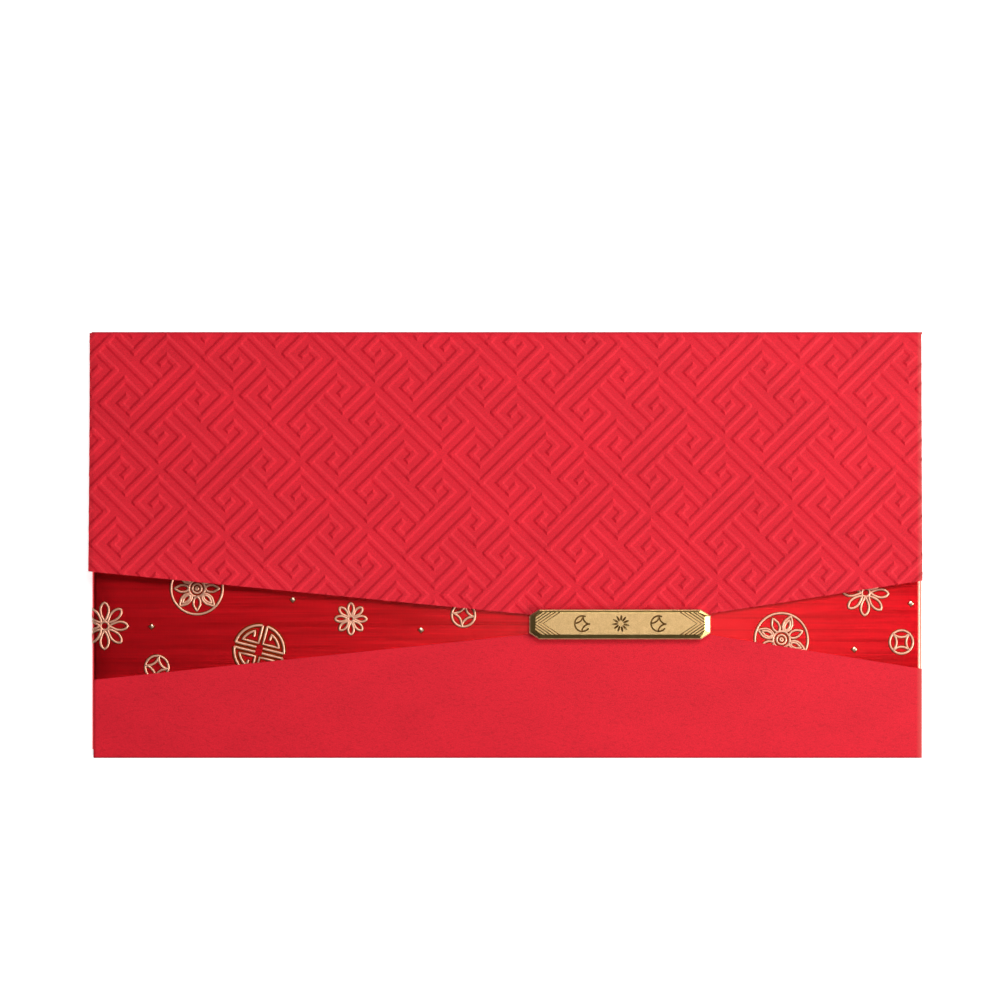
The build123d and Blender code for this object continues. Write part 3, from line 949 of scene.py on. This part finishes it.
def merge(piece, other):
    """Add another piece's mesh and its finish to a piece."""
    with editing(piece) as work:
        first = len(work.faces)
        work.from_mesh(other.data)
        work.faces.ensure_lookup_table()
        for face in work.faces[first:]:
            face.material_index = len(piece.data.materials)
        piece.data.materials.append(other.data.materials[0])
    bpy.data.objects.remove(other)


def painted_shade_lines(lines, line_width):
    """Painted shade along the edges of foil lines."""
    return draw_lines("shade_border", lines, line_width, SHADE_BORDER_HEIGHT, painted_shade_satin, profile_points=6)


def finish_foil(piece, node):
    """Cut a flat foil piece to the pocket, bend it over the rolls and set it in place."""
    trim(piece, [
        ((0, POCKET_TOP_Y - MOUTH_MARGIN, 0), (0, 1, 0)),
        ((FOIL_EDGE, 0, 0), (1, 0, 0)),
        ((-FOIL_EDGE, 0, 0), (-1, 0, 0)),
    ])
    with editing(piece) as work:
        bmesh.ops.holes_fill(work, edges=[edge for edge in work.edges if edge.is_boundary])
        bmesh.ops.recalc_face_normals(work, faces=work.faces)
    reshape(piece, lay_on_satin)
    soften(piece, 60)
    seat(piece, "pocket", "gold_foil", node)


for name, (node, motif, line_width, shade_border, places) in PRINT.items():
    lines = []
    for row in range(FOIL_ROWS):
        for side, inset, up, radius, turn in places:
            x, y, flip = print_place(side, inset, up, row)
            for points, closed in motif(radius):
                moved = [turned(point, turn) for point in points]
                lines.append(([(x + flip * px, y + py) for px, py in moved], closed))
    foil = draw_lines(name, lines, line_width, FOIL_HEIGHT, foil_gold)
    # A wider, lower line of painted shade along each foil line.
    merge(foil, painted_shade_lines(lines, line_width + shade_border))
    finish_foil(foil, node)

# %% [markdown]
# The stars are tiny four-sided points of foil, so each is a small pyramid with its foot in the satin. A
# line of painted shade runs round that foot.

# %% Foil stars
STAR = 0.66
STAR_FOOT = -0.05
STAR_HEIGHT = 0.28
STAR_SHADE_BORDER = 0.24
star_points = []
star_faces = []
star_edges = []
for row in range(FOIL_ROWS):
    for side, inset, up in STARS:
        x, y, _ = print_place(side, inset, up, row)
        start = len(star_points)
        foot = [(x + STAR, y), (x, y + STAR), (x - STAR, y), (x, y - STAR)]
        star_edges.append((foot, True))
        star_points += [(px, py, STAR_FOOT) for px, py in foot] + [(x, y, STAR_HEIGHT)]
        star_faces += [(start + k, start + (k + 1) % 4, start + 4) for k in range(4)]
        star_faces.append((start + 3, start + 2, start + 1, start))
stars = new_object("gold_stars", star_points, star_faces)
stars.data.materials.append(star_gold)
# A ring of painted shade round the foot of each star.
merge(stars, painted_shade_lines(star_edges, STAR_SHADE_BORDER))
finish_foil(stars, "foil_stars")

# %% [markdown]
# The clasp plate is a long octagon of brass-coloured metal with a narrow flat rim round its bevels. Its
# ends have wider and deeper bevels than its long sides, so the corners of a ring have one height at the
# ends and one at the sides. The plate is built as four such rings, and a narrow Bevel modifier breaks its
# edges. The large flat face is sand-blasted, small flat faces belong to the rim, and the rest is polished.

# %% Clasp plate
END_BEVEL = 1.28
SIDE_BEVEL = 0.81
FACE_RISE = 0.2
RIM = 0.6
LIP = 0.2
SIDE_DROP = 0.25
OUTER_CORNER = (2.0, 1.3)
LIP_CORNER = (1.88, 1.2)
FACE_CORNER = (1.2, 0.85)
FLAT = 0.98
SMALL_AREA = 50.0
EDGE_BREAK = 0.04
(_, PLATE_LOW_Y, PLATE_Z), (_, PLATE_HIGH_Y, PLATE_TOP_Z) = box_mm("clasp_plate")
PLATE_X = (PLATE_LEFT_X + PLATE_RIGHT_X) / 2
PLATE_Y = (PLATE_LOW_Y + PLATE_HIGH_Y) / 2
HALF_LENGTH = (PLATE_RIGHT_X - PLATE_LEFT_X) / 2
HALF_WIDTH = (PLATE_HIGH_Y - PLATE_LOW_Y) / 2


def octagon(half_length, half_width, corner, end_z, side_z, rise=0.0):
    """Eight corners of a long octagon, moved up the face by a rise."""
    cut_x, cut_y = corner
    quarter = [(half_length, half_width - cut_y, end_z), (half_length - cut_x, half_width, side_z)]
    half = quarter + [(-x, y, z) for x, y, z in reversed(quarter)]
    whole = half + [(-x, -y, z) for x, y, z in half]
    return [(PLATE_X + x, PLATE_Y + rise + y, z) for x, y, z in whole]


FACE_LENGTH = HALF_LENGTH - END_BEVEL
FACE_WIDTH = HALF_WIDTH - SIDE_BEVEL
SIDE_RIM_Z = PLATE_TOP_Z - SIDE_DROP
END_RIM_Z = PLATE_Z + RIM
plate_points = octagon(HALF_LENGTH, HALF_WIDTH, OUTER_CORNER, PLATE_Z, PLATE_Z)
plate_points += octagon(HALF_LENGTH, HALF_WIDTH, OUTER_CORNER, END_RIM_Z, SIDE_RIM_Z)
plate_points += octagon(HALF_LENGTH - LIP, HALF_WIDTH - LIP, LIP_CORNER, END_RIM_Z, SIDE_RIM_Z)
plate_points += octagon(FACE_LENGTH, FACE_WIDTH, FACE_CORNER, PLATE_TOP_Z, PLATE_TOP_Z, FACE_RISE)
plate_faces = [tuple(range(7, -1, -1)), tuple(range(24, 32))]
for level in (0, 8, 16):
    for k in range(8):
        after = (k + 1) % 8
        plate_faces.append((level + k, level + after, level + 8 + after, level + 8 + k))
plate = new_object("engraved_plate", plate_points, plate_faces)
for material in (face_gold, bevel_gold, rim_gold):
    plate.data.materials.append(material)
for face in plate.data.polygons:
    if face.normal.z < FLAT:
        face.material_index = 1
    elif face.area < SMALL_AREA * MM**2:
        face.material_index = 2
edge_break = plate.modifiers.new("edge_break", "BEVEL")
edge_break.width = EDGE_BREAK * MM
edge_break.segments = 2
make_plain(plate)
print("plate faces:", len(plate.data.polygons))

# %% [markdown]
# The face of the plate is engraved with two coins, a burst between them, and fine chevrons at both ends.
# They are drawn like the motifs of the foil. The arms of the chevrons run out over the edge of the face,
# and an arm that would be very short is left out.

# %% Engraved designs
CHEVRON_FIRST = 15.9
CHEVRON_STEP = 0.92
CHEVRON_SLOPE = 0.68
CHEVRONS = 6
OVERSHOOT = 0.1
SHORTEST_ARM = 0.3


def on_plate(lines, x, y, turn):
    """Lines turned and moved to a place on the plate."""
    placed = []
    for points, closed in lines:
        moved = [turned(point, turn) for point in points]
        placed.append(([(PLATE_X + x + px, PLATE_Y + y + py) for px, py in moved], closed))
    return placed


def struck_coin(radius):
    """A coin whose lines are missing on one side, where the die cut less deep."""
    hole = coin(radius)[1:]
    return [(arc((0.0, 0.0), 0.9 * radius, 68, 328, 30), False), hole[0], hole[1], hole[3]]


def burst(radius):
    """Eleven leaves round a centre."""
    return [leaf(0.34 * radius, radius, 0.06 * radius, pointed, 86 + 360 / 11 * k, 6) for k in range(11)]


def chevron_lines():
    """Nested chevrons at both ends of the face."""
    lines = []
    top = FACE_WIDTH + OVERSHOOT
    end = FACE_LENGTH + OVERSHOOT
    for k in range(CHEVRONS):
        point_x = CHEVRON_FIRST + CHEVRON_STEP * k
        start_y = max(0.0, (point_x - end) * CHEVRON_SLOPE)
        if top - start_y < SHORTEST_ARM:
            continue
        arm = [(point_x - y / CHEVRON_SLOPE, y) for y in (start_y, top)]
        for sign in (1, -1):
            lower = [(sign * x, -y) for x, y in arm]
            upper = [(sign * x, y) for x, y in arm]
            if start_y == 0.0:
                lines.append((lower[::-1] + upper[1:], False))
            else:
                lines += [(lower, False), (upper, False)]
    return lines


print("engraved lines:", len(struck_coin(1.0)), "in a coin,", len(burst(1.0)), "in the burst,",
      len(chevron_lines()), "in the chevrons")

# %% [markdown]
# The engraving is cut into the metal. The lines are swept with a diamond profile whose lower half lies in
# the metal, and a Boolean takes them out of the plate. The walls of the cut keep the cutter's dark colour,
# which is painted shade.
# Each design is listed with its place on the plate, its turn, the width of its lines and their depth.

# %% Engraving
ENGRAVING = [
    ("left_coin_cutter", struck_coin(1.78), -7.8, 0.17, -4, 0.34, 0.16),
    ("right_coin_cutter", struck_coin(1.78), 7.97, 0.17, -4, 0.34, 0.16),
    ("burst_cutter", burst(1.74), 0.15, 0.2, 0, 0.22, 0.15),
    ("chevron_cutter", chevron_lines(), 0.0, FACE_RISE, 0, 0.2, 0.14),
]
DIAMOND = 4
cuts = []
for name, lines, x, y, turn, line_width, depth in ENGRAVING:
    placed = on_plate(lines, x, y, turn)
    cuts.append(draw_lines(name, placed, line_width, depth, engraving_shade_gold, PLATE_TOP_Z, DIAMOND))
for cutter in cuts:
    engrave = plate.modifiers.new("engrave", "BOOLEAN")
    engrave.operation = "DIFFERENCE"
    engrave.object = cutter
    engrave.solver = "EXACT"
    engrave.use_self = True
    engrave.material_mode = "TRANSFER"
make_plain(plate)
for cutter in cuts:
    bpy.data.objects.remove(cutter)
plate.data.shade_flat()
seat(plate, "flap", "gold_plate", "clasp_plate")

# %% [markdown]
# The top spine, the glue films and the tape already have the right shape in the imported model. They stay
# as they are and only get their finish.

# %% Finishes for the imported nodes
TAB_FILMS = ("left_tab_glue", "right_tab_glue", "bottom_tab_glue")
PANEL_FILMS = ("panel_left_glue", "panel_right_glue", "panel_bottom_glue")
FINISHES = {"top_spine": felt_red, "clasp_tape": paper_tape}
for film in TAB_FILMS + PANEL_FILMS:
    FINISHES[film] = dried_glue
for node, material in FINISHES.items():
    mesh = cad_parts[node].data
    mesh.materials.clear()
    mesh.materials.append(material)
print("finished nodes:", ", ".join(sorted(FINISHES)))

# %% [markdown]
# The photograph looks straight down on the envelope through a long lens, so the camera hangs over it. Its
# height follows from the lens and from the width of face that fills the frame.

# %% Camera
LENS = 100.0
FRAME_WIDTH = 207.25
CAMERA_OVER = (-1.45, 9.36)
camera_data = bpy.data.cameras.new("overhead_camera")
camera_data.lens = LENS
camera_data.sensor_width = 36.0
camera = bpy.data.objects.new("overhead_camera", camera_data)
bpy.context.scene.collection.objects.link(camera)
camera_height = PANEL_TOP_Z + FRAME_WIDTH * LENS / camera_data.sensor_width
camera.location = Vector((*CAMERA_OVER, camera_height)) * MM
bpy.context.scene.camera = camera
print("camera height in mm:", round(camera_height, 1))

# %% [markdown]
# The light comes from the right. A lamp low on that side draws the fret, two beyond the top edge cast the
# shadow of the flap on the satin, and a small panel overhead is what the satin and the gold reflect.

# %% Lamps
def lamp(name, place, target, size, power, colour=(1.0, 1.0, 1.0)):
    """A square lamp at a place, turned to a target, both in millimetres."""
    data = bpy.data.lights.new(name, "AREA")
    data.size = size * MM
    data.energy = power
    data.color = colour
    made = bpy.data.objects.new(name, data)
    bpy.context.scene.collection.objects.link(made)
    made.location = Vector(place) * MM
    made.rotation_euler = (Vector(target) - Vector(place)).to_track_quat("-Z", "Y").to_euler()
    made.visible_camera = False


lamp("side_lamp", (580, -200, 330), (0, 0, 0), 300, 4.3)
lamp("top_lamp", (40, 255, 560), (0, 0, 0), 200, 1.3)
lamp("top_right_lamp", (330, 260, 450), (0, 0, 0), 220, 1.2)
lamp("overhead_panel", (60, -30, 600), (60, -30, 0), 100, 0.11, (1.0, 0.93, 0.8))
print("lamps:", len(bpy.data.lights))

# %% [markdown]
# The world fills in. A narrow glow on the right is what the end bevel of the plate reflects, and a weak
# broad one from the left keeps the other bevels from turning black.

# %% World
GLOW_FROM = (0.87, 0.0, 0.49)
GLOW_FOCUS = 80
GLOW_POWER = 6.0
BACK_GLOW = 0.1
FILL = 0.02
world = bpy.data.worlds.new("studio")
bpy.context.scene.world = world
world.use_nodes = True
sky = Tree(world.node_tree)
direction = sky.node("ShaderNodeTexCoord").out("Generated")
toward = vector_math(sky, "DOT_PRODUCT", direction, GLOW_FROM).out("Value")
glow = limit(toward) ** GLOW_FOCUS * GLOW_POWER + limit(toward * -1.0) * BACK_GLOW + FILL
sky.links.new(glow.socket, sky.nodes["Background"].inputs["Strength"])
sky.nodes["Background"].inputs["Color"].default_value = (1.0, 1.0, 1.0, 1.0)
print("world:", world.name)

# %% [markdown]
# The floor is white paper. It glows for the camera and in reflections, so the background is white without
# more light on the envelope, and it keeps the envelope's shadow.

# %% Floor
FLOOR_REACH = 4000
FLOOR_Z = -0.1
FLOOR_GLOW = 0.84
floor_signs = [(-1, -1), (1, -1), (1, 1), (-1, 1)]
floor_corners = [(x * FLOOR_REACH, y * FLOOR_REACH, FLOOR_Z) for x, y in floor_signs]
floor = new_object("floor", floor_corners, [(0, 1, 2, 3)])
paper_white = bpy.data.materials.new("white_floor")
paper_white.use_nodes = True
ground = Tree(paper_white.node_tree)
sheet = ground.nodes["Principled BSDF"]
sheet.inputs["Base Color"].default_value = (0.8, 0.8, 0.8, 1.0)
sheet.inputs["Roughness"].default_value = 0.9
path = ground.node("ShaderNodeLightPath")
seen = path.out("Is Camera Ray") + path.out("Is Glossy Ray") + path.out("Is Transmission Ray")
shine = ground.node("ShaderNodeEmission", {}, {"Strength": seen * FLOOR_GLOW})
both = ground.node("ShaderNodeAddShader", {}, {0: Wire(ground, sheet.outputs[0]), 1: shine})
ground.links.new(both.socket, ground.nodes["Material Output"].inputs["Surface"])
floor.data.materials.append(paper_white)
bpy.context.scene.view_settings.view_transform = "Standard"
print("floor:", floor.name)
